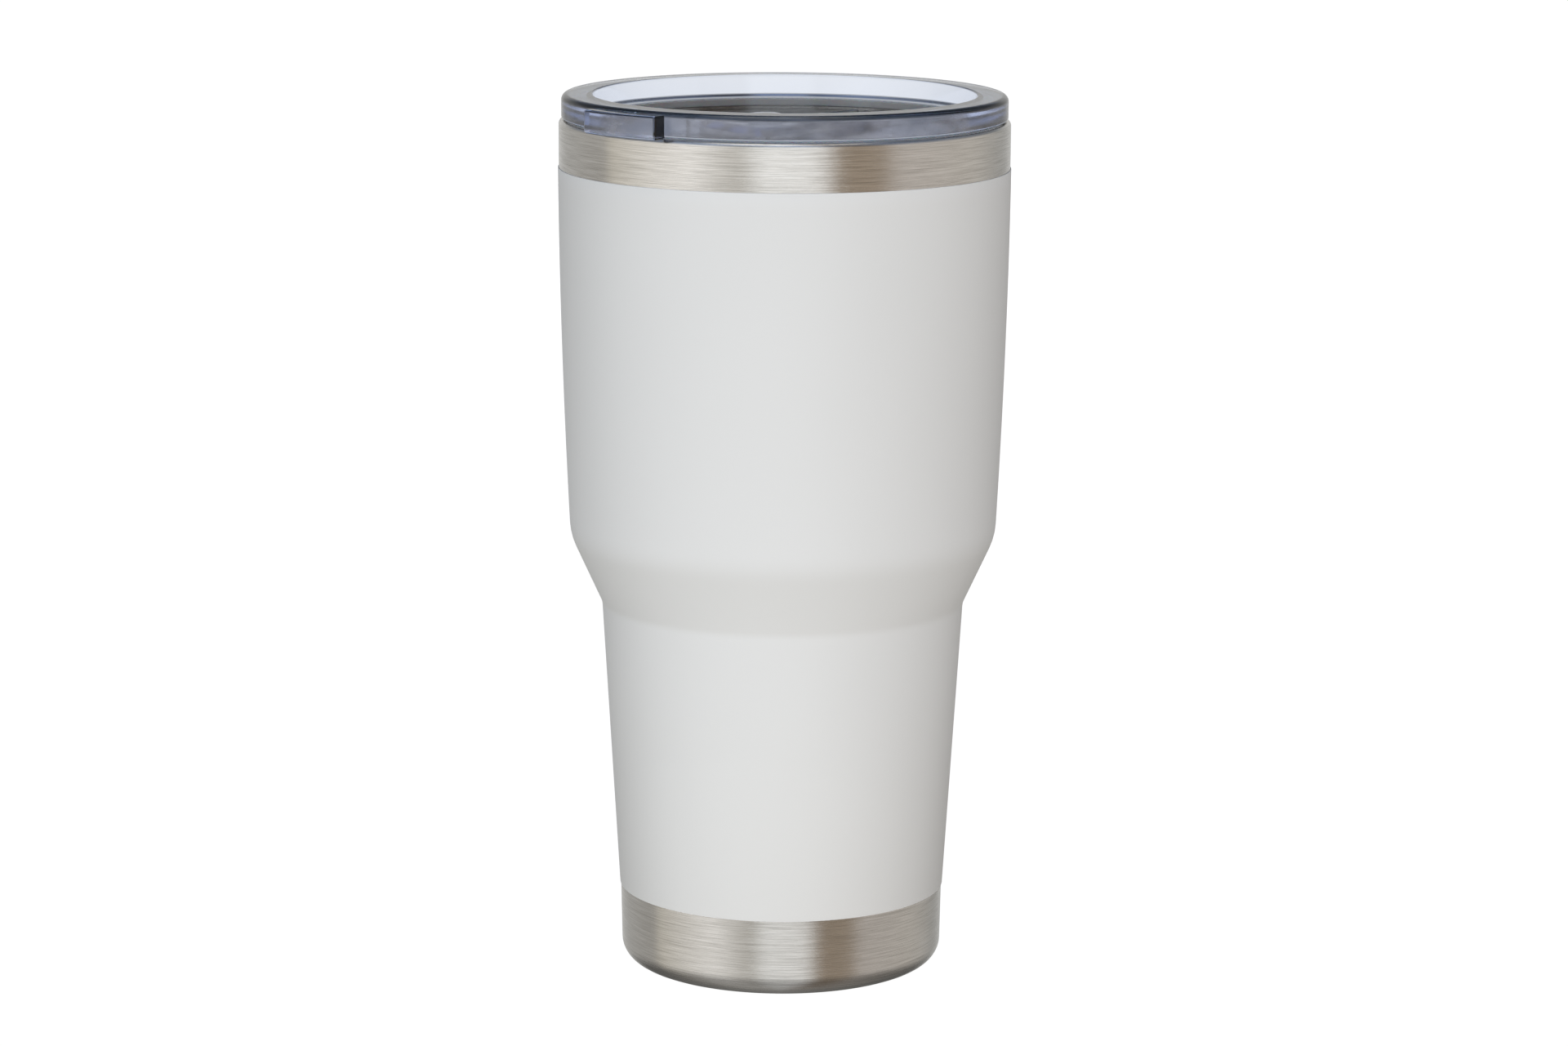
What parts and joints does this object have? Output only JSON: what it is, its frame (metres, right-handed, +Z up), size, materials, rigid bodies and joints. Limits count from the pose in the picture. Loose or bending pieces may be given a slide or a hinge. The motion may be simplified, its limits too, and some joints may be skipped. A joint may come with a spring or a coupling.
{
  "type": "insulated tumbler with lid",
  "caption": "Tall stepped vacuum tumbler: white coated steel body, bare steel rim and foot, clear push-in lid with thumb tab and sliding sip cover.",
  "frame": {"origin": "centre of the steel ring that the cup stands on", "axes": "+Z up along the cup's axis; the sip hole points towards +X+Y and the thumb tab towards -X-Y"},
  "size_m": [0.102, 0.102, 0.2002],
  "materials": {
    "shell_steel": "brushed round the axis, satin",
    "liner_steel": "electropolished over faint turned lines",
    "powder_coat": "white powder coat, eggshell with fine orange peel",
    "copper": "thin bright copper foil",
    "clear_plastic": "clear moulded copolyester with a faint blue-violet tint",
    "silicone": "translucent silicone, matte",
    "solder_glass": "fused sealing glass",
    "getter": "sintered grey metal"
  },
  "bodies": {
    "cup": {"outer_shell": "shell_steel", "powder_coat": "powder_coat", "liner_wall": "liner_steel", "liner_bottom": "liner_steel", "copper_foil": "copper", "vacuum_port_plate": "shell_steel", "port_seal_bead": "solder_glass", "getter_clip": "shell_steel", "getter_pill": "getter", "base_cap": "shell_steel"},
    "lid": {"lid_body": "clear_plastic", "lid_gasket": "silicone"},
    "slider": {"sip_cover": "clear_plastic"}
  },
  "joints": [
    {"name": "lid_lift", "type": "slide", "parent": "cup", "child": "lid", "axis": [0, 0, 1], "range_m": [0, 0.1]},
    {"name": "sip_slide", "type": "slide", "parent": "lid", "child": "slider", "axis": [0.682, 0.7314, 0], "range_m": [0, 0.014]}
  ]
}
